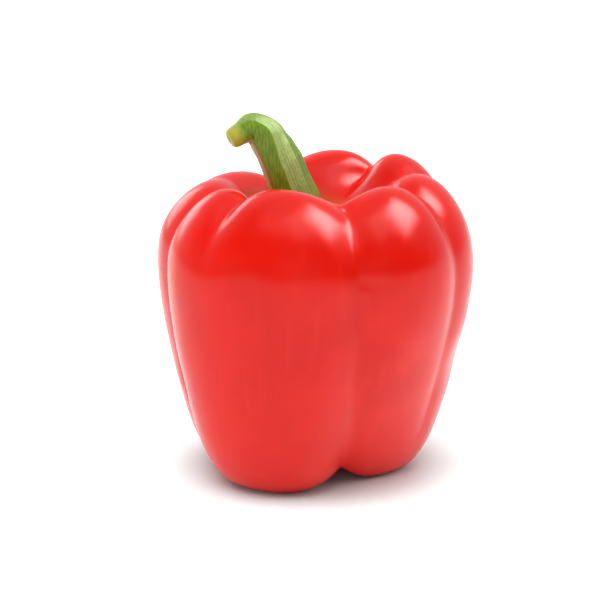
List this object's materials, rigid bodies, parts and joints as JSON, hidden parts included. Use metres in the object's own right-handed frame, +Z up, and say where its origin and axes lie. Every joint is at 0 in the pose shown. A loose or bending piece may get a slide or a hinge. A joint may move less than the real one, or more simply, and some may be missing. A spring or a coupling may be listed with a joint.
{
  "type": "bell pepper",
  "caption": "Blocky red bell pepper standing on its lobe tips, with a hooked green stem rising from a calyx in the hollow of its shoulders.",
  "frame": {"origin": "middle of the bounding box, on the surface the pepper stands on", "axes": "+Z up, from the lobe tips to the stem; -Y is the front, where two broad lobes meet; the stem hooks over towards -X"},
  "size_m": [0.0844, 0.0834, 0.0967],
  "materials": {
    "red_skin": "gloss",
    "green_calyx": "satin",
    "green_stem": "satin"
  },
  "bodies": {
    "root": {"fruit": "red_skin", "calyx": "green_calyx", "stem": "green_stem"}
  },
  "joints": []
}
